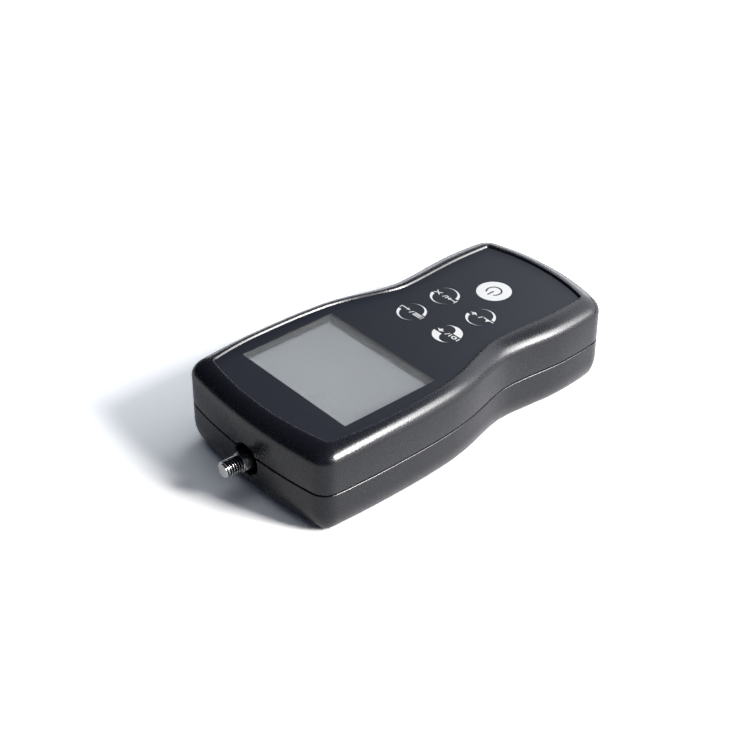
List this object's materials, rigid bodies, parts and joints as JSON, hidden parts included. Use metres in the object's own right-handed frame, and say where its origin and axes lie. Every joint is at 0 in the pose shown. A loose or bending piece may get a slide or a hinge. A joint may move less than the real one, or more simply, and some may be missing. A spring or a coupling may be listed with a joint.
{
  "type": "digital force gauge",
  "caption": "Hand-held digital force gauge: waisted two-part plastic case with a display window, membrane keys and a threaded measuring stud at one end.",
  "frame": {"origin": "middle of the flat back, halfway between the two ends of the case", "axes": "+Z out of the display face, +Y along the measuring axis towards the stud, +X to the reader's right"},
  "size_m": [0.0764, 0.1549, 0.0335],
  "materials": {
    "shell": "fine spark-eroded texture, satin",
    "film": "printed satin overlay",
    "key_white": "printed satin overlay, white",
    "pane": "clear, polished",
    "gasket": "mid-grey foam frame",
    "lcd": "grey liquid crystal cell, unlit",
    "white_plastic": "moulded",
    "polyimide": "amber film",
    "board": "green solder mask",
    "steel": "zinc plated",
    "black_steel": "black oxide",
    "black_plastic": "moulded",
    "grey_plastic": "moulded",
    "cream_plastic": "moulded",
    "socket_shell": "nickel plated",
    "sleeve": "shrink sleeve",
    "foam": "adhesive foam",
    "red_lead": "insulated lead",
    "white_lead": "insulated lead",
    "aluminium": "milled",
    "brass": "turned",
    "dark_steel": "dark burnished",
    "bright_steel": "bright turned thread"
  },
  "bodies": {
    "case": {"front_shell": "shell", "rear_shell": "shell", "housing_screws": "black_steel", "overlay_film": "film", "display_window": "pane", "display_gasket": "gasket", "lcd_glass": "lcd", "lcd_backlight": "white_plastic", "lcd_ribbon": "polyimide", "main_board": "board", "board_screws": "steel", "board_chips": "black_plastic", "board_connectors": "cream_plastic", "buzzer": "black_plastic", "switch_bases": "black_plastic", "usb_socket": "socket_shell", "battery_pack": "sleeve", "battery_pad": "foam", "battery_lead": "red_lead", "chassis_plate": "aluminium", "chassis_screws": "steel", "mount_bushes": "brass", "load_cell": "aluminium", "load_cell_screws": "steel", "strain_gauges": "polyimide", "sensor_lead": "white_lead"},
    "probe": {"hex_coupler": "dark_steel", "measuring_stud": "bright_steel"},
    "menu_button": {"menu_key": "film", "menu_plunger": "grey_plastic"},
    "zero_button": {"zero_key": "film", "zero_plunger": "grey_plastic"},
    "send_button": {"send_key": "film", "send_plunger": "grey_plastic"},
    "peak_button": {"peak_key": "film", "peak_plunger": "grey_plastic"},
    "power_button": {"power_key": "key_white", "power_plunger": "grey_plastic"}
  },
  "joints": [
    {"name": "probe_slide", "type": "slide", "parent": "case", "child": "probe", "axis": [0, 1, 0], "range_m": [-0.00025, 0.00025], "stiffness_N_per_m": 200000, "deforming": ["load_cell"]},
    {"name": "menu_press", "type": "slide", "parent": "case", "child": "menu_button", "axis": [0, 0, -1], "range_m": [0, 0.0003], "stiffness_N_per_m": 6000},
    {"name": "zero_press", "type": "slide", "parent": "case", "child": "zero_button", "axis": [0, 0, -1], "range_m": [0, 0.0003], "stiffness_N_per_m": 6000},
    {"name": "send_press", "type": "slide", "parent": "case", "child": "send_button", "axis": [0, 0, -1], "range_m": [0, 0.0003], "stiffness_N_per_m": 6000},
    {"name": "peak_press", "type": "slide", "parent": "case", "child": "peak_button", "axis": [0, 0, -1], "range_m": [0, 0.0003], "stiffness_N_per_m": 6000},
    {"name": "power_press", "type": "slide", "parent": "case", "child": "power_button", "axis": [0, 0, -1], "range_m": [0, 0.0003], "stiffness_N_per_m": 6000}
  ]
}
